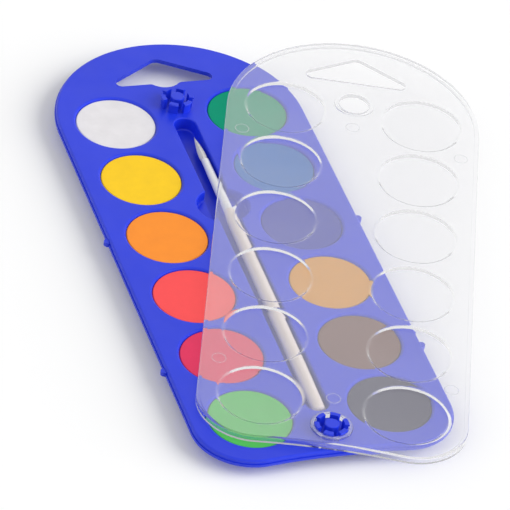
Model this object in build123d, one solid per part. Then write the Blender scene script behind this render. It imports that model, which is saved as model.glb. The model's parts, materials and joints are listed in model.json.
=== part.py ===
from build123d import *
import os
from math import asin, atan2, degrees, tan

# Watercolour paint set, in millimetres. The origin is at the middle of the grid of pans,
# on the plane that the tray rests on. +Y points to the arched end with the hang hole,
# +X to the right across the tray and +Z up.

# Pans and tablets of paint
pan_rows = 6
row_land = 3.2
column_land = 16.8
tablet_diameter = 23.2
tablet_thickness = 4.1
tablet_edge_round = 0.35
tablet_clearance = 0.1
paint_recess = 0.5
pan_mouth_round = 0.8

# Tray moulding
side_margin = 5.5
foot_margin = 6.0
foot_corner_radius = 15.6
foot_waist = 1.2
arch_setback = 0.8
plate_thickness = 1.3
cup_wall = 1.2
cup_floor = 1.2
cup_heel_round = 0.8
rim_depth = 2.0
rim_wall = 1.3
rim_lip_height = 0.8
rim_lip_reach = 0.3
rim_edge_round = 0.7

# Half-round nubs on the long sides of the rim, as distances from the middle of the grid
nub_radius = 1.1
nub_stations = (14.0, -42.7)

# Brush channel and the round finger recess across it
channel_side_gap = 1.3
channel_head_land = 1.5
channel_foot_land = 3.8
channel_edge_round = 0.4
channel_floor_round = 0.6
recess_radius = 7.6
recess_depth = 3.2
recess_row_offset = 0.93

# Studs: a post in a ring of hooked lugs
head_stud_offset = 6.0
foot_stud_offset = 9.0
post_radius = 2.0
post_round = 0.25
post_rise = 0.1
lug_count = 6
lug_span = 36.0
lug_outer_radius = 4.5
lug_thickness = 1.0
hook_reach = 0.4
hook_thickness = 0.5
hook_gap = 0.2
hook_slope = 0.15
hook_lead = 0.2

# Hang hole: a flat triangle with round corners, and a bulge in the tray's lower edge
hang_corner_spacing = 25.8
hang_corner_radius = 1.9
hang_apex_radius = 2.8
hang_rise = 7.0
hang_above_stud = 12.6
hang_bulge_radius = 5.5
hang_bulge_depth = 2.0
hang_bulge_blend = 1.5

# Lid moulding, and how far it is swung open about the foot stud, in degrees
lid_swing = 20.6
lid_gap = 0.3
lid_depth = 2.0
lid_plate = 1.0
skirt_wall = 1.2
lid_edge_round = 0.5
snap_clearance = 0.1
collar_reach = 1.3
collar_height = 0.3
collar_round = 0.25
well_reach = 0.55
well_wall_run = 1.2
well_wall_drop = 0.75
well_dish_drop = 0.35
well_mouth_round = 1.0
well_foot_round = 0.8
well_skin = 0.85

# Brush: the handle's length is what the channel leaves for it
handle_end_radius = 1.85
handle_end_round = 1.1
handle_belly_radius = 2.0
handle_belly_station = 42.0
handle_swell = 0.012
handle_shoulder_radius = 1.75
handle_shoulder_length = 4.0
handle_neck_radius = 1.4
ferrule_length = 24.3
ferrule_mouth_radius = 1.1
ferrule_skin = 0.3
ferrule_joint_gap = 0.05
spigot_length = 8.0
spigot_clearance = 0.03
groove_width = 0.35
groove_depth = 0.12
groove_stations = (1.9, 2.9)
bristle_length = 11.2
bristle_root = 4.0
bristle_belly_radius = 1.12
bristle_belly_station = 2.5
bristle_tip_radius = 0.35
bristle_flare = 0.4
bristle_taper = 0.35
brush_floor_gap = 0.3
brush_rise = 0.1
brush_foot_gap = 1.2
brush_head_gap = 6.9
brush_offset = 0.38
brush_skew = 0.7

# Colours in the two columns, from the arched end down
left_colours = ("white", "yellow", "orange", "red", "crimson", "light_green")
right_colours = ("dark_green", "blue", "violet", "ochre", "brown", "black")

# Pan grid that follows from the sizes above
tablet_radius = tablet_diameter / 2
pan_radius = tablet_radius + tablet_clearance
row_pitch = tablet_diameter + row_land
column_x = (tablet_diameter + column_land) / 2
head_row_y = row_pitch * (pan_rows - 1) / 2
foot_row_y = -head_row_y

# Heights of the tray, deep enough for the tablets and for the brush
pan_depth = tablet_thickness + paint_recess
channel_depth = brush_floor_gap + 2 * handle_belly_radius - brush_rise
tray_top = cup_floor + max(pan_depth, channel_depth)
pan_floor = tray_top - pan_depth
channel_floor = tray_top - channel_depth
recess_floor = tray_top - recess_depth
plate_under = tray_top - plate_thickness
plate_middle = tray_top - plate_thickness / 2
rim_under = tray_top - rim_depth
rim_turn = tray_top - rim_edge_round

# Outline, studs, channel and holes in plan
half_width = column_x + pan_radius + side_margin
foot_edge_y = foot_row_y - pan_radius - foot_margin
arch_y = head_row_y - arch_setback
corner_x = half_width - foot_corner_radius
corner_y = foot_edge_y + foot_corner_radius
waist_radius = corner_x**2 / (2 * foot_waist) + foot_waist / 2 - foot_corner_radius
waist_lean = degrees(asin(corner_x / (waist_radius + foot_corner_radius)))
head_stud_y = head_row_y + head_stud_offset
foot_stud_y = foot_row_y - foot_stud_offset
hook_radius = lug_outer_radius + hook_reach
channel_width = 2 * (handle_belly_radius + channel_side_gap)
channel_head_y = head_stud_y - hook_radius - channel_head_land
channel_foot_y = foot_stud_y + hook_radius + channel_foot_land
channel_length = channel_head_y - channel_foot_y
channel_mid_y = (channel_head_y + channel_foot_y) / 2
recess_y = row_pitch * recess_row_offset
hang_base_y = head_stud_y + hang_above_stud

# Lid: its lowest point, skirt or well, clears the tray's top
well_depth = well_wall_drop + well_dish_drop + well_skin
lid_top = tray_top + lid_gap + max(lid_depth, well_depth)
lid_under = lid_top - lid_depth
collar_top = lid_top + collar_height
lid_hole_radius = lug_outer_radius + snap_clearance
collar_radius = lid_hole_radius + collar_reach
well_radius = pan_radius + well_reach
lug_top = collar_top + hook_gap + hook_thickness

# Brush, as distances along its axis from the plain end of the handle
brush_length = channel_length - brush_foot_gap - brush_head_gap
ferrule_end = brush_length - bristle_length
handle_length = ferrule_end - ferrule_length

# How far a cut runs past a face
cut_over = 1.0


def outline(inset):
    """Outline of the tray and the lid, drawn in by inset: an arch over a foot with a waist."""
    half = half_width - inset
    corner = foot_corner_radius - inset
    waist_centre = (0, foot_edge_y + foot_waist - waist_radius)
    return make_face(
        [
            CenterArc((0, arch_y), half, 0, 180),
            Line((-half, arch_y), (-half, corner_y)),
            CenterArc((-corner_x, corner_y), corner, 180, 90 + waist_lean),
            CenterArc(waist_centre, waist_radius + inset, 90 + waist_lean, -2 * waist_lean),
            CenterArc((corner_x, corner_y), corner, 270 - waist_lean, 90 + waist_lean),
            Line((half, corner_y), (half, arch_y)),
        ]
    )


def slab(face, bottom, top):
    """Flat-sided solid of a face between two heights."""
    return Pos(0, 0, bottom) * extrude(face, top - bottom)


def lathe(*edges):
    """Solid of revolution about Z from edges drawn as (radius, height)."""
    return revolve(Plane.XZ * make_face(edges), Axis.Z)


def top_edges(solid):
    """Edges of a solid's highest level."""
    return solid.edges().group_by(Axis.Z)[-1]


def bottom_edges(solid):
    """Edges of a solid's lowest level."""
    return solid.edges().group_by(Axis.Z)[0]


def pan_places():
    """Centres of the pans in the left column and in the right one, from the arched end."""
    rows = [head_row_y - row_pitch * row for row in range(pan_rows)]
    return [(-column_x, y) for y in rows], [(column_x, y) for y in rows]


def pan_cut():
    """Space of one pan, with a rounded mouth at the tray's top."""
    mouth = pan_radius + pan_mouth_round
    turn = tray_top - pan_mouth_round
    above = tray_top + cut_over
    return lathe(
        Polyline((0, above), (0, pan_floor), (pan_radius, pan_floor), (pan_radius, turn)),
        CenterArc((mouth, turn), pan_mouth_round, 90, 90),
        Polyline((mouth, tray_top), (mouth, above), (0, above)),
    )


def cup_shell():
    """Outside of one cup, from the resting plane up into the plate."""
    cup = slab(Circle(pan_radius + cup_wall), 0, plate_middle)
    return fillet(bottom_edges(cup), cup_heel_round)


def channel_face(growth):
    """Outline of the brush channel, grown by a wall."""
    slot = SlotOverall(channel_length + 2 * growth, channel_width + 2 * growth, rotation=90)
    return Pos(0, channel_mid_y) * slot


def recess_face(growth):
    """Outline of the finger recess, grown by a wall."""
    return Pos(0, recess_y) * Circle(recess_radius + growth)


def hang_face():
    """Round-cornered triangle that both hang holes share."""
    reach = hang_corner_spacing / 2
    corner_y = hang_base_y
    left = Pos(-reach, corner_y) * Circle(hang_corner_radius)
    right = Pos(reach, corner_y) * Circle(hang_corner_radius)
    apex = Pos(0, corner_y + hang_rise) * Circle(hang_apex_radius)
    return make_hull(left.edges() + right.edges() + apex.edges())


def tray_hang_face():
    """The tray's hang hole, with the bulge in its lower edge blended in."""
    base = hang_base_y - hang_corner_radius
    bulge = Pos(0, base - hang_bulge_depth + hang_bulge_radius) * Circle(hang_bulge_radius)
    below = Pos(0, base - hang_bulge_radius) * Rectangle(2 * hang_bulge_radius, 2 * hang_bulge_radius)
    hole = hang_face() + (bulge & below)
    joins = [v for v in hole.vertices() if abs(v.Y - base) < 0.01 and abs(v.X) < hang_bulge_radius]
    return fillet(joins, hang_bulge_blend)


def stud():
    """Post in a ring of hooked lugs, rooted in the tray's plate."""
    post = slab(Circle(post_radius), plate_middle, lug_top + post_rise)
    post = fillet(top_edges(post), post_round)
    inner = lug_outer_radius - lug_thickness
    hook_under = lug_top - hook_thickness
    section = make_face(
        Polyline(
            (inner, plate_middle),
            (lug_outer_radius, plate_middle),
            (lug_outer_radius, hook_under),
            (hook_radius, hook_under + hook_slope),
            (hook_radius - hook_lead, lug_top),
            (inner, lug_top),
            (inner, plate_middle),
        )
    )
    lug = Rot(0, 0, -lug_span / 2) * revolve(Plane.XZ * section, Axis.Z, lug_span)
    ring = [Rot(0, 0, 360 / lug_count * index) * lug for index in range(lug_count)]
    return post + ring


def rim():
    """Plate and turned-down rim in two tiers, with the nubs on its long sides."""
    upper = slab(outline(rim_lip_reach), rim_under, tray_top)
    upper = fillet(top_edges(upper), rim_edge_round)
    lip = slab(outline(0), rim_under, rim_under + rim_lip_height)
    nub = slab(Circle(nub_radius), rim_under, rim_turn)
    nubs = [Pos(side * half_width, y) * nub for side in (-1, 1) for y in nub_stations]
    hollow = slab(outline(rim_wall), rim_under - cut_over, plate_under)
    return upper + lip + nubs - hollow


def sunken_shell():
    """Outside of the channel's trough, down to the resting plane, and of the finger recess."""
    trough = slab(channel_face(cup_wall), 0, plate_middle)
    trough = fillet(bottom_edges(trough), cup_heel_round)
    return trough + slab(recess_face(cup_wall), recess_floor - cup_floor, plate_middle)


def sunken_cut():
    """Space of the channel and of the finger recess, rounded at the foot of the walls."""
    channel = slab(channel_face(0), channel_floor, tray_top)
    recess = slab(recess_face(0), recess_floor, tray_top)
    channel = fillet(bottom_edges(channel), channel_floor_round)
    return channel + fillet(bottom_edges(recess), channel_floor_round)


def make_tray():
    """The blue moulding: plate and rim, cups, channel, recess, hang hole and studs."""
    left, right = pan_places()
    places = left + right
    shell = rim() + sunken_shell() + [Pos(x, y) * cup_shell() for x, y in places]
    shell -= sunken_cut()
    face = shell.faces().sort_by(Axis.Z)[-1]
    mouth = face.inner_wires()[0].edges()
    shell = fillet(mouth, channel_edge_round)
    shell -= [Pos(x, y) * pan_cut() for x, y in places]
    shell -= slab(tray_hang_face(), rim_under, tray_top + cut_over)
    return shell + [Pos(0, y) * stud() for y in (head_stud_y, foot_stud_y)]


def make_tablet():
    """One pressed tablet of paint, standing on its pan's floor."""
    disc = slab(Circle(tablet_radius), pan_floor, pan_floor + tablet_thickness)
    return fillet(top_edges(disc), tablet_edge_round)


def dish(skin):
    """Lathed well, its floor a shallow cap and its wall a cone, grown outwards by skin."""
    floor_radius = well_radius - well_wall_run
    cap_radius = (floor_radius**2 + well_dish_drop**2) / (2 * well_dish_drop)
    centre = lid_top - well_wall_drop - well_dish_drop + cap_radius
    span = degrees(asin(floor_radius / cap_radius))
    floor_arc = CenterArc((0, centre), cap_radius + skin, -90, span)
    wall = Polyline(floor_arc @ 1, (well_radius + skin, lid_top), (0, lid_top), floor_arc @ 0)
    section = make_face([floor_arc, wall])
    foot = section.vertices().sort_by_distance(floor_arc @ 1)[0]
    return revolve(Plane.XZ * fillet(foot, well_foot_round + skin), Axis.Z)


def dish_mouth():
    """Ring that is cut away to round the mouth of one well."""
    slope = atan2(well_wall_drop, well_wall_run)
    reach = well_radius + well_mouth_round * tan(slope / 2)
    bend = CenterArc((reach, lid_top - well_mouth_round), well_mouth_round, 90, degrees(slope))
    start = bend @ 1
    above = lid_top + cut_over
    return lathe(bend, Polyline(start, (start.X, above), (reach, above), (reach, lid_top)))


def make_lid():
    """The clear moulding, drawn shut over the tray and then swung about the foot stud."""
    left, right = pan_places()
    places = left + right
    block = slab(outline(0), lid_under, lid_top)
    block = fillet(top_edges(block), lid_edge_round)
    block -= slab(outline(skirt_wall), lid_under - cut_over, lid_top - lid_plate)
    collar = slab(Circle(collar_radius), lid_top - lid_plate / 2, collar_top)
    collar = fillet(top_edges(collar), collar_round)
    hole = slab(Circle(lid_hole_radius), lid_under, collar_top + cut_over)
    studs = [Pos(0, y) for y in (head_stud_y, foot_stud_y)]
    lid = block + [Pos(x, y) * dish(well_skin) for x, y in places]
    lid += [spot * collar for spot in studs]
    lid -= [spot * hole for spot in studs]
    lid -= [Pos(x, y) * dish(0) for x, y in places]
    lid -= [Pos(x, y) * dish_mouth() for x, y in places]
    lid -= slab(hang_face(), lid_under, lid_top + cut_over)
    pivot = Pos(0, foot_stud_y)
    return pivot * Rot(0, 0, -lid_swing) * Pos(0, -foot_stud_y) * lid


def turned(*edges):
    """Solid of revolution about Y from edges drawn as (radius, station)."""
    return revolve(make_face(edges), Axis.Y)


def make_handle():
    """Turned handle: rounded plain end, long belly, shoulder and a spigot for the ferrule."""
    end_turn = handle_end_radius - handle_end_round
    shoulder = handle_length - handle_shoulder_length
    spigot_radius = handle_neck_radius - ferrule_skin - spigot_clearance
    spigot_end = handle_length + spigot_length
    spigot_tip = bore_radius(spigot_length) - spigot_clearance
    return turned(
        Line((0, 0), (end_turn, 0)),
        CenterArc((end_turn, handle_end_round), handle_end_round, -90, 90),
        Spline(
            (handle_end_radius, handle_end_round),
            (handle_belly_radius, handle_belly_station),
            (handle_shoulder_radius, shoulder),
            tangents=((handle_swell, 1), (-handle_swell, 1)),
        ),
        Line((handle_shoulder_radius, shoulder), (handle_neck_radius, handle_length)),
        Polyline(
            (handle_neck_radius, handle_length),
            (spigot_radius, handle_length),
            (spigot_tip, spigot_end),
            (0, spigot_end),
            (0, 0),
        ),
    )


def bore_radius(station):
    """Radius of the ferrule's bore at a distance from the handle joint."""
    outer = handle_neck_radius + (ferrule_mouth_radius - handle_neck_radius) * station / ferrule_length
    return outer - ferrule_skin


def make_ferrule():
    """Tapered sleeve with two ring grooves, from the handle to the bristles."""
    start = handle_length + ferrule_joint_gap
    sleeve = turned(
        Polyline(
            (bore_radius(0), start),
            (handle_neck_radius, start),
            (ferrule_mouth_radius, ferrule_end),
            (bore_radius(ferrule_length), ferrule_end),
            (bore_radius(0), start),
        )
    )
    for station in groove_stations:
        radius = bore_radius(station) + ferrule_skin
        ring = Circle(radius + cut_over) - Circle(radius - groove_depth)
        groove = extrude(Plane.XZ * ring, groove_width / 2, both=True)
        sleeve -= Pos(0, handle_length + station) * groove
    return sleeve


def make_bristles():
    """Pointed tuft, its root inside the ferrule's mouth."""
    root_radius = ferrule_mouth_radius - ferrule_skin - spigot_clearance
    root_start = ferrule_end - bristle_root
    return turned(
        Polyline((0, root_start), (root_radius, root_start), (root_radius, ferrule_end)),
        Spline(
            (root_radius, ferrule_end),
            (bristle_belly_radius, ferrule_end + bristle_belly_station),
            (bristle_tip_radius, brush_length),
            tangents=((bristle_flare, 1), (-bristle_taper, 1)),
        ),
        Polyline((bristle_tip_radius, brush_length), (0, brush_length), (0, root_start)),
    )


def brush_place():
    """Where the brush lies: along the channel, leaning to its right wall at the tip."""
    axis_height = channel_floor + brush_floor_gap + handle_belly_radius
    spot = Pos(brush_offset, channel_foot_y + brush_foot_gap, axis_height)
    return spot * Rot(0, 0, -brush_skew)


os.makedirs("parts", exist_ok=True)

nodes = {"tray": make_tray(), "lid": make_lid()}
tablet = make_tablet()
for colours, places in zip((left_colours, right_colours), pan_places()):
    for colour, (x, y) in zip(colours, places):
        nodes[f"paint_{colour}"] = Pos(x, y) * tablet
nodes["brush_handle"] = brush_place() * make_handle()
nodes["brush_ferrule"] = brush_place() * make_ferrule()
nodes["brush_bristles"] = brush_place() * make_bristles()

for name, node in nodes.items():
    export_step(node, f"parts/{name}.step")
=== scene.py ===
import json
import math
import random

import bmesh
import bpy
from mathutils import Matrix, Quaternion, Vector


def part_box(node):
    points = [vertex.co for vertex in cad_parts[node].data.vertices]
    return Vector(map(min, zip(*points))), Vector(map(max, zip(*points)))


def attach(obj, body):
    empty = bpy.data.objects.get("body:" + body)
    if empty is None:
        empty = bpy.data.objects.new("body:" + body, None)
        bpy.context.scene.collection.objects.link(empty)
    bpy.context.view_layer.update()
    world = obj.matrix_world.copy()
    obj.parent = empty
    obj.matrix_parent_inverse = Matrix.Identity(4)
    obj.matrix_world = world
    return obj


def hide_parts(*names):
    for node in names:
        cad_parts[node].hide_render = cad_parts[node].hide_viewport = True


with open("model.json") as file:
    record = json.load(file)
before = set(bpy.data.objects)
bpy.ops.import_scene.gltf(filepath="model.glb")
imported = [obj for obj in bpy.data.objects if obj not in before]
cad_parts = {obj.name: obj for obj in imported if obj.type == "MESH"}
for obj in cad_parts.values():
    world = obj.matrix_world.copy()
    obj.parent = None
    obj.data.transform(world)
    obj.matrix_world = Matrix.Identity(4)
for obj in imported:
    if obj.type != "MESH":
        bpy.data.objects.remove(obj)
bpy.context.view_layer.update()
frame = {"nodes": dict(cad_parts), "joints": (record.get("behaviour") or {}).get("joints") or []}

# One millimetre in the scene's metres
MM = 0.001

# Camera, solved on the rims of the pans and the outline of the lid, with lens and sensor in millimetres
CAMERA_TARGET = Vector((2.33, 1.44, 5.8)) * MM
CAMERA_DISTANCE = 1350.8 * MM
CAMERA_ELEVATION = math.radians(37.873)
CAMERA_AZIMUTH = math.radians(23.183)
CAMERA_ROLL = math.radians(9.568)
CAMERA_LENS = 339.7
CAMERA_SENSOR = 36.0
CAMERA_NEAR = 10 * MM
CAMERA_FAR = 50.0

# Studio: two soft boxes, each as azimuth, elevation, width in degrees and strength, in an even surround
SOFT_BOXES = {
    "key": (116, 26, 60, 2.9),
    "fill": (262, 35, 60, 0.8),
}
SURROUND_STRENGTH = 0.46
BACKDROP_STRENGTH = 1.0
WHITE = (1, 1, 1, 1)

# Floor, in metres: the tone that is seen, and the one that throws light back at the object
FLOOR_SIZE = 20.0
FLOOR_TONE = (1.0, 1.0, 1.0)
FLOOR_BOUNCE_TONE = (0.8, 0.8, 0.8)

# Lid: how far it is swung open, where it turns, and how far its collars rise over its plate
LID_SWING = math.radians(20.6)
LID_JOINT = "lid_swivel"
COLLAR_HEIGHT = 0.3 * MM

# Circles that the ejector pins leave on the lid: four by the long sides and one near each end
RING_SIDE = 32.0 * MM
RING_ROW = 52.8 * MM
RING_FOOT = -63.3 * MM
RING_HEAD = 60.7 * MM
RING_RADIUS = 1.95 * MM
RING_WIDTH = 0.10 * MM
RING_RISE = 0.05 * MM

# Rounded bead on the collar, and how finely the bead and the circles are divided
BEAD_RADIUS = 5.3 * MM
BEAD_WIDTH = 0.5 * MM
BEAD_RISE = 0.2 * MM
RING_TURNS = 64
RING_SIDES = 10

# Tuft of the brush
TUFT_LENGTH = 11.2 * MM
TUFT_ROOT = 1.5 * MM
TUFT_BELLY = 1.08 * MM
TUFT_MOUTH = 0.76 * MM
TUFT_BELLY_SHARE = 0.16
TUFT_TAPER = 1.7
TUFT_SEED = 7

# Full core of the tuft: where it is cut across, as shares of the length, and its share of the radius
CORE_SHARES = [-TUFT_ROOT / TUFT_LENGTH, 0, 0.1, 0.2, 0.3, 0.45, 0.6, 0.75, 0.88]
CORE_FULLNESS = 0.9
CORE_SIDES = 16

# Filaments of the tuft, with ranges for their places, as shares of its section, and for their lengths
STRAND_COUNT = 260
STRAND_RADIUS = 0.075 * MM
STRAND_SIDES = 5
STRAND_STEPS = 10
STRAND_PLACES = (0.55, 1.0)
STRAND_LENGTHS = (0.86, 1.0)

# How far a filament turns round the tuft, in radians, sinks under its outline and thins to its tip
STRAND_DRIFT = 0.12
STRAND_SINK = 0.4
STRAND_THINNING = 0.7
STRAND_THINNING_POWER = 3

# Clear plastic: tint of what is seen through each face, and of what lights or is mirrored past it
LID_TINT = (0.955, 0.955, 0.965, 1)
LID_CLEARNESS = 0.97
LAMP_WAY_TINT = (0.955, 0.955, 0.96, 1)
MIRROR_WAY_TINT = (0.78, 0.78, 0.79, 1)

# The two shades between which each solid finish varies, and the darker fibres of the wood
BLUE_SHADES = ((0.010, 0.034, 0.65), (0.014, 0.040, 0.71))
WOOD_SHADES = ((0.87, 0.78, 0.74), (0.81, 0.71, 0.66))
WOOD_FIBRE = (0.66, 0.50, 0.42)
FERRULE_SHADES = ((0.88, 0.875, 0.87), (0.83, 0.825, 0.825))
FILAMENT_SHADES = ((0.82, 0.81, 0.79), (0.62, 0.61, 0.60))

# Tablets of paint: their colours, and how much lighter or darker the mottling and the flecks are
PAINTS = {
    "white": (0.80, 0.78, 0.80),
    "yellow": (0.98, 0.62, 0.026),
    "orange": (1.0, 0.305, 0.042),
    "red": (1.0, 0.098, 0.102),
    "crimson": (0.776, 0.048, 0.127),
    "light_green": (0.089, 0.527, 0.107),
    "dark_green": (0.003, 0.305, 0.17),
    "blue": (0.02, 0.155, 0.50),
    "violet": (0.045, 0.055, 0.42),
    "ochre": (0.72, 0.34, 0.07),
    "brown": (0.215, 0.115, 0.10),
    "black": (0.055, 0.05, 0.10),
}
PAINT_DARKER = 0.95
PAINT_LIGHTER = 1.03
PAINT_FLECK = 0.8

# Sockets of a Mix node for colours, which has several of each name
MIX_SHARE = 0
MIX_FIRST = 6
MIX_SECOND = 7
MIX_RESULT = 2


class Graph:
    """Node tree of one material or world, with short calls to add nodes and links."""

    def __init__(self, tree):
        self.tree = tree
        self.tree.nodes.clear()

    def add(self, kind, inputs=None, **settings):
        """Adds a node. An input is a plain value, or a socket of another node to link."""
        node = self.tree.nodes.new(kind)
        for name, value in settings.items():
            setattr(node, name, value)
        for name, value in (inputs or {}).items():
            socket = node.inputs[name]
            if isinstance(value, bpy.types.NodeSocket):
                self.tree.links.new(value, socket)
            else:
                socket.default_value = value
        return node

    def place(self, stretch=(1, 1, 1)):
        """The piece's own coordinates, in metres, stretched along its axes."""
        coordinates = self.add("ShaderNodeTexCoord")
        inputs = {"Vector": coordinates.outputs["Object"], "Scale": stretch}
        return self.add("ShaderNodeMapping", inputs).outputs["Vector"]

    def noise(self, where, pitch, detail=3, roughness=0.5):
        """Soft noise with features about pitch wide, in metres."""
        inputs = {"Vector": where, "Scale": 1 / pitch, "Detail": detail, "Roughness": roughness}
        return self.add("ShaderNodeTexNoise", inputs).outputs["Fac"]

    def spread(self, value, low, high, start=0.3, end=0.7):
        """Maps a noise value, from start to end, to the range from low to high."""
        inputs = {"Value": value, "From Min": start, "From Max": end, "To Min": low, "To Max": high}
        return self.add("ShaderNodeMapRange", inputs).outputs["Result"]

    def tint(self, share, first, second):
        """Mixes two colours by a share. A colour is three numbers, or a socket."""
        ends = {MIX_FIRST: first, MIX_SECOND: second}
        inputs = {MIX_SHARE: share}
        for place, colour in ends.items():
            linked = isinstance(colour, bpy.types.NodeSocket)
            inputs[place] = colour if linked else (*colour, 1)
        return self.add("ShaderNodeMix", inputs, data_type="RGBA").outputs[MIX_RESULT]

    def bump(self, height, depth, below=None):
        """Turns a height of 0 to 1 into relief of the given depth, in metres."""
        inputs = {"Height": height, "Distance": depth, "Strength": 1.0}
        if below is not None:
            inputs["Normal"] = below
        return self.add("ShaderNodeBump", inputs).outputs["Normal"]

    def mixed(self, share, first, second):
        """Mixes two shader nodes by a share."""
        inputs = {0: share, 1: first.outputs[0], 2: second.outputs[0]}
        return self.add("ShaderNodeMixShader", inputs)

    def seen(self):
        """1 for what is seen, mirrored or seen through the lid, and 0 for what only lights the object."""
        path = self.add("ShaderNodeLightPath")
        share = path.outputs["Is Camera Ray"]
        for way in ("Is Glossy Ray", "Is Transmission Ray"):
            inputs = {0: share, 1: path.outputs[way]}
            share = self.add("ShaderNodeMath", inputs, operation="MAXIMUM").outputs[0]
        return share

    def surface(self, shader, kind="ShaderNodeOutputMaterial"):
        """Ends the tree with a shader node."""
        self.add(kind, {"Surface": shader.outputs[0]})


def new_material(name):
    """An empty material and its graph."""
    material = bpy.data.materials.new(name)
    material.use_nodes = True
    return material, Graph(material.node_tree)


def scaled(colour, share):
    """A colour made lighter or darker."""
    return tuple(min(1.0, channel * share) for channel in colour)


def blue_plastic():
    """Satin moulded polypropylene with faint flow clouds and a fine orange peel."""
    material, graph = new_material("blue_plastic")
    where = graph.place()
    clouds = graph.noise(where, 22 * MM)
    grain = graph.noise(where, 0.9 * MM, detail=2)
    sheen = graph.noise(where, 6 * MM, detail=4)
    shader = graph.add(
        "ShaderNodeBsdfPrincipled",
        {
            "Base Color": graph.tint(graph.spread(clouds, 0, 1), *BLUE_SHADES),
            "Roughness": graph.spread(sheen, 0.34, 0.44),
            "IOR": 1.49,
            "Normal": graph.bump(grain, 0.006 * MM),
        },
    )
    graph.surface(shader)
    return material


def paint(name, colour):
    """Dry pressed paint: chalky, faintly mottled, with fine darker grains."""
    material, graph = new_material(f"{name}_paint")
    where = graph.place()
    mottle = graph.noise(where, 5 * MM, detail=5, roughness=0.6)
    grain = graph.noise(where, 0.28 * MM, roughness=0.7)
    darker = scaled(colour, PAINT_DARKER)
    lighter = scaled(colour, PAINT_LIGHTER)
    body = graph.tint(graph.spread(mottle, 0, 1), darker, lighter)
    flecks = graph.spread(grain, 0, 0.3, start=0.62, end=0.75)
    relief = graph.bump(grain, 0.02 * MM)
    shader = graph.add(
        "ShaderNodeBsdfPrincipled",
        {
            "Base Color": graph.tint(flecks, body, scaled(colour, PAINT_FLECK)),
            "Roughness": graph.spread(mottle, 0.78, 0.92),
            "Specular IOR Level": 0.25,
            "Normal": graph.bump(mottle, 0.05 * MM, below=relief),
        },
    )
    graph.surface(shader)
    return material


def clear_plastic():
    """Clear moulded lid: it bends what the camera sees and lets the lamps through."""
    material, graph = new_material("clear_plastic")
    haze = graph.noise(graph.place(), 3 * MM, detail=4)
    flow = graph.noise(graph.place((1, 0.25, 1)), 8 * MM, detail=2)
    glass = graph.add(
        "ShaderNodeBsdfPrincipled",
        {
            "Base Color": LID_TINT,
            "Roughness": graph.spread(haze, 0.06, 0.10),
            "IOR": 1.49,
            "Transmission Weight": LID_CLEARNESS,
            "Coat Weight": 1.0,
            "Coat Roughness": 0.1,
            "Coat IOR": 1.5,
            "Normal": graph.bump(flow, 0.02 * MM),
        },
    )
    lamp_way = graph.add("ShaderNodeBsdfTransparent", {"Color": LAMP_WAY_TINT})
    mirror_way = graph.add("ShaderNodeBsdfTransparent", {"Color": MIRROR_WAY_TINT})
    path = graph.add("ShaderNodeLightPath")
    bounced = graph.mixed(path.outputs["Is Diffuse Ray"], mirror_way, lamp_way)
    mirrored = graph.mixed(path.outputs["Is Reflection Ray"], glass, bounced)
    graph.surface(graph.mixed(path.outputs["Is Shadow Ray"], mirrored, lamp_way))
    return material


def plain_wood():
    """Unvarnished pale wood with long fine fibres."""
    material, graph = new_material("plain_wood")
    fibres = graph.noise(graph.place((1, 0.03, 1)), 0.22 * MM, detail=4, roughness=0.6)
    bands = graph.noise(graph.place((1, 0.05, 1)), 1.6 * MM, detail=2)
    body = graph.tint(graph.spread(bands, 0, 1), *WOOD_SHADES)
    streaks = graph.spread(fibres, 0, 0.55, start=0.5, end=0.8)
    shader = graph.add(
        "ShaderNodeBsdfPrincipled",
        {
            "Base Color": graph.tint(streaks, body, WOOD_FIBRE),
            "Roughness": graph.spread(fibres, 0.5, 0.7),
            "Specular IOR Level": 0.35,
            "Normal": graph.bump(fibres, 0.03 * MM),
        },
    )
    graph.surface(shader)
    return material


def white_plastic():
    """Smooth white plastic of the ferrule, with faint draw lines round it."""
    material, graph = new_material("white_plastic")
    lines = graph.noise(graph.place((0.1, 1, 0.1)), 0.3 * MM, detail=2)
    shader = graph.add(
        "ShaderNodeBsdfPrincipled",
        {
            "Base Color": graph.tint(graph.spread(lines, 0, 1), *FERRULE_SHADES),
            "Roughness": graph.spread(lines, 0.28, 0.4),
            "IOR": 1.5,
            "Normal": graph.bump(lines, 0.01 * MM),
        },
    )
    graph.surface(shader)
    return material


def white_filament():
    """Fine nylon filaments, each a little lighter or darker than the next."""
    material, graph = new_material("white_filament")
    shades = graph.noise(graph.place((1, 0.02, 1)), 0.16 * MM, detail=2)
    shader = graph.add(
        "ShaderNodeBsdfPrincipled",
        {
            "Base Color": graph.tint(graph.spread(shades, 0, 1), *FILAMENT_SHADES),
            "Roughness": graph.spread(shades, 0.3, 0.5),
            "Sheen Weight": 0.2,
            "Normal": graph.bump(shades, 0.02 * MM),
        },
    )
    graph.surface(shader)
    return material


def dress(node, material):
    """Gives a CAD node its finish."""
    slots = frame["nodes"][node].data.materials
    slots.clear()
    slots.append(material)


def dress_nodes(clear):
    """Gives every CAD node that shows its finish."""
    dress("tray", blue_plastic())
    dress("lid", clear)
    dress("brush_handle", plain_wood())
    dress("brush_ferrule", white_plastic())
    for name, colour in PAINTS.items():
        dress(f"paint_{name}", paint(name, colour))


def new_piece(name, shape, body, material):
    """Makes an object of a bmesh that moves with a body of the frame."""
    mesh = bpy.data.meshes.new(name)
    bmesh.ops.recalc_face_normals(shape, faces=shape.faces)
    for face in shape.faces:
        face.smooth = True
    shape.to_mesh(mesh)
    shape.free()
    mesh.materials.append(material)
    piece = bpy.data.objects.new(name, mesh)
    bpy.context.scene.collection.objects.link(piece)
    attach(piece, body)
    return piece


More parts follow.
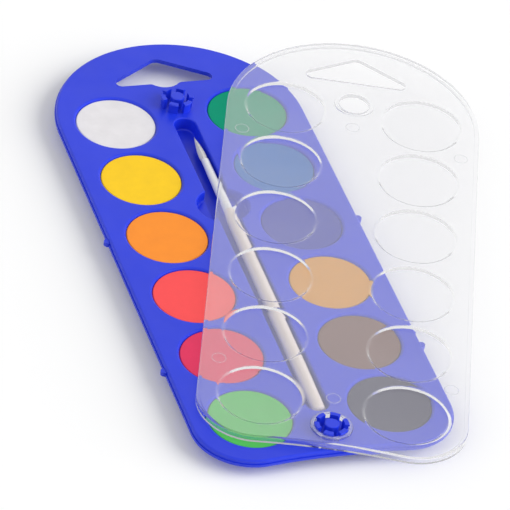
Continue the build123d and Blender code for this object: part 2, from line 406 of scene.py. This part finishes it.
def add_tube(shape, rings):
    """Joins rings of points into a closed tube with flat ends."""
    loops = [[shape.verts.new(point) for point in ring] for ring in rings]
    for loop, after in zip(loops, loops[1:]):
        for index in range(len(loop)):
            step = (index + 1) % len(loop)
            shape.faces.new((loop[index], loop[step], after[step], after[index]))
    shape.faces.new(list(reversed(loops[0])))
    shape.faces.new(loops[-1])


def ring_points(centre, across, up, radius, sides, turn=0.0):
    """Points of a circle about a centre, in the plane of two directions."""
    angles = [turn + 2 * math.pi * index / sides for index in range(sides)]
    return [centre + radius * (math.cos(a) * across + math.sin(a) * up) for a in angles]


def tuft_radius(share):
    """Radius of the tuft at a share of its length from the ferrule's mouth to the tip."""
    if share < TUFT_BELLY_SHARE:
        rise = math.sin(max(share, 0) / TUFT_BELLY_SHARE * math.pi / 2)
        return TUFT_MOUTH + (TUFT_BELLY - TUFT_MOUTH) * rise
    fall = (share - TUFT_BELLY_SHARE) / (1 - TUFT_BELLY_SHARE)
    return TUFT_BELLY * (1 - fall**TUFT_TAPER)


def add_strand(shape, chance, mouth, along, across, up):
    """Adds one tapered filament that follows the tuft's outline, at a random place in it."""
    reach = math.sqrt(chance.uniform(*STRAND_PLACES))
    angle = chance.uniform(0, 2 * math.pi)
    length = TUFT_LENGTH * chance.uniform(*STRAND_LENGTHS)
    drift = chance.uniform(-STRAND_DRIFT, STRAND_DRIFT)
    rings = []
    for step in range(STRAND_STEPS + 1):
        travel = -TUFT_ROOT + (length + TUFT_ROOT) * step / STRAND_STEPS
        share = travel / TUFT_LENGTH
        distance = reach * (tuft_radius(share) - STRAND_SINK * STRAND_RADIUS)
        turned = angle + drift * share
        side = math.cos(turned) * across + math.sin(turned) * up
        centre = mouth + along * travel + side * max(distance, 0)
        thinned = STRAND_THINNING * max(share, 0) ** STRAND_THINNING_POWER
        thickness = STRAND_RADIUS * (1 - thinned)
        rings.append(ring_points(centre, across, up, thickness, STRAND_SIDES, angle))
    add_tube(shape, rings)


def make_tuft():
    """Pointed tuft of separate filaments round a full core, in place of the plain one."""
    handle = sum(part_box("brush_handle"), Vector()) / 2
    ferrule = sum(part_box("brush_ferrule"), Vector()) / 2
    along = (ferrule - handle).normalized()
    along.z = 0
    along.normalize()
    up = Vector((0, 0, 1))
    across = along.cross(up)
    tip_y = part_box("brush_bristles")[1].y
    tip = ferrule + along * (tip_y - ferrule.y) / along.y
    mouth = tip - along * TUFT_LENGTH
    shape = bmesh.new()
    core = []
    for share in CORE_SHARES:
        centre = mouth + along * TUFT_LENGTH * share
        radius = CORE_FULLNESS * tuft_radius(share)
        core.append(ring_points(centre, across, up, radius, CORE_SIDES))
    add_tube(shape, core)
    chance = random.Random(TUFT_SEED)
    for _ in range(STRAND_COUNT):
        add_strand(shape, chance, mouth, along, across, up)
    piece = new_piece("tuft", shape, "brush", white_filament())
    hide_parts("brush_bristles")


def lid_pivot():
    """Point on the resting plane under the stud that the lid turns on."""
    joint = next(joint for joint in frame["joints"] if joint["name"] == LID_JOINT)
    x, y, _ = joint["pos_m"]
    return Vector((x, y, 0))


def lid_place(x, y, height):
    """Point of the swung lid, given where it is when the lid is shut."""
    pivot = lid_pivot()
    shut = Vector((x, y, height))
    return pivot + Matrix.Rotation(-LID_SWING, 3, "Z") @ (shut - pivot)


def add_ring(shape, centre, radius, width, rise):
    """Adds a closed ring of oval section round an upright axis."""
    loops = []
    for turn in range(RING_TURNS):
        angle = 2 * math.pi * turn / RING_TURNS
        out = Vector((math.cos(angle), math.sin(angle), 0))
        spots = []
        for side in range(RING_SIDES):
            lean = 2 * math.pi * side / RING_SIDES
            reach = out * (radius + width * math.cos(lean))
            height = Vector((0, 0, rise * math.sin(lean)))
            spots.append(shape.verts.new(centre + reach + height))
        loops.append(spots)
    for turn in range(RING_TURNS):
        here = loops[turn]
        there = loops[(turn + 1) % RING_TURNS]
        for side in range(RING_SIDES):
            step = (side + 1) % RING_SIDES
            shape.faces.new((here[side], here[step], there[step], there[side]))


def make_ejector_rings(clear):
    """Thin raised circles that the ejector pins leave on the lid's plate."""
    places = [(side * RING_SIDE, end * RING_ROW) for side in (-1, 1) for end in (-1, 1)]
    places += [(0, RING_FOOT), (0, RING_HEAD)]
    plate_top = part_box("lid")[1].z - COLLAR_HEIGHT
    shape = bmesh.new()
    for x, y in places:
        add_ring(shape, lid_place(x, y, plate_top), RING_RADIUS, RING_WIDTH, RING_RISE)
    new_piece("ejector_rings", shape, "lid", clear)


def make_collar_bead(clear):
    """Rounded bead along the top of the collar that turns on the foot stud."""
    collar_top = Vector((0, 0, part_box("lid")[1].z))
    shape = bmesh.new()
    add_ring(shape, lid_pivot() + collar_top, BEAD_RADIUS, BEAD_WIDTH, BEAD_RISE)
    new_piece("collar_bead", shape, "lid", clear)


def make_floor():
    """Plain white floor that keeps the shadow."""
    mesh = bpy.data.meshes.new("floor")
    shape = bmesh.new()
    bmesh.ops.create_grid(shape, x_segments=1, y_segments=1, size=FLOOR_SIZE / 2)
    shape.to_mesh(mesh)
    shape.free()
    floor = bpy.data.objects.new("floor", mesh)
    bpy.context.scene.collection.objects.link(floor)
    material, graph = new_material("floor")
    tone = graph.tint(graph.seen(), FLOOR_BOUNCE_TONE, FLOOR_TONE)
    graph.surface(graph.add("ShaderNodeBsdfDiffuse", {"Color": tone}))
    mesh.materials.append(material)


def direction(azimuth, elevation):
    """Direction from the object, with azimuth turned from +Y towards +X."""
    flat = math.cos(elevation)
    return Vector((math.sin(azimuth) * flat, math.cos(azimuth) * flat, math.sin(elevation)))


def make_soft_box(name, azimuth, elevation, width, strength):
    """Wide distant lamp, which neither the camera nor a glossy surface sees."""
    lamp = bpy.data.lights.new(name, "SUN")
    lamp.energy = strength
    lamp.angle = math.radians(width)
    holder = bpy.data.objects.new(name, lamp)
    holder.rotation_mode = "QUATERNION"
    towards = -direction(math.radians(azimuth), math.radians(elevation))
    holder.rotation_quaternion = towards.to_track_quat("-Z", "Y")
    holder.visible_camera = False
    holder.visible_glossy = False
    bpy.context.scene.collection.objects.link(holder)


def make_surround():
    """Even light from all round, white where it is seen or mirrored."""
    world = bpy.data.worlds.new("studio")
    world.use_nodes = True
    bpy.context.scene.world = world
    graph = Graph(world.node_tree)
    around = graph.add("ShaderNodeBackground", {"Color": WHITE, "Strength": SURROUND_STRENGTH})
    backdrop = graph.add("ShaderNodeBackground", {"Color": WHITE, "Strength": BACKDROP_STRENGTH})
    graph.surface(graph.mixed(graph.seen(), around, backdrop), "ShaderNodeOutputWorld")


def make_camera():
    """Camera at the photograph's viewing angle, with an azimuth of 0 looking along +Y."""
    forward = -direction(CAMERA_AZIMUTH + math.pi, CAMERA_ELEVATION)
    lens = bpy.data.cameras.new("camera")
    lens.lens = CAMERA_LENS
    lens.sensor_width = CAMERA_SENSOR
    lens.clip_start = CAMERA_NEAR
    lens.clip_end = CAMERA_FAR
    camera = bpy.data.objects.new("camera", lens)
    camera.rotation_mode = "QUATERNION"
    level = forward.to_track_quat("-Z", "Y")
    camera.rotation_quaternion = level @ Quaternion((0, 0, 1), CAMERA_ROLL)
    camera.location = CAMERA_TARGET - forward * CAMERA_DISTANCE
    bpy.context.scene.collection.objects.link(camera)
    bpy.context.scene.camera = camera


make_camera()
make_floor()
for lamp_name, lamp_values in SOFT_BOXES.items():
    make_soft_box(lamp_name, *lamp_values)
make_surround()
clear_finish = clear_plastic()
dress_nodes(clear_finish)
make_tuft()
make_ejector_rings(clear_finish)
make_collar_bead(clear_finish)

bpy.context.scene.view_settings.view_transform = "Standard"
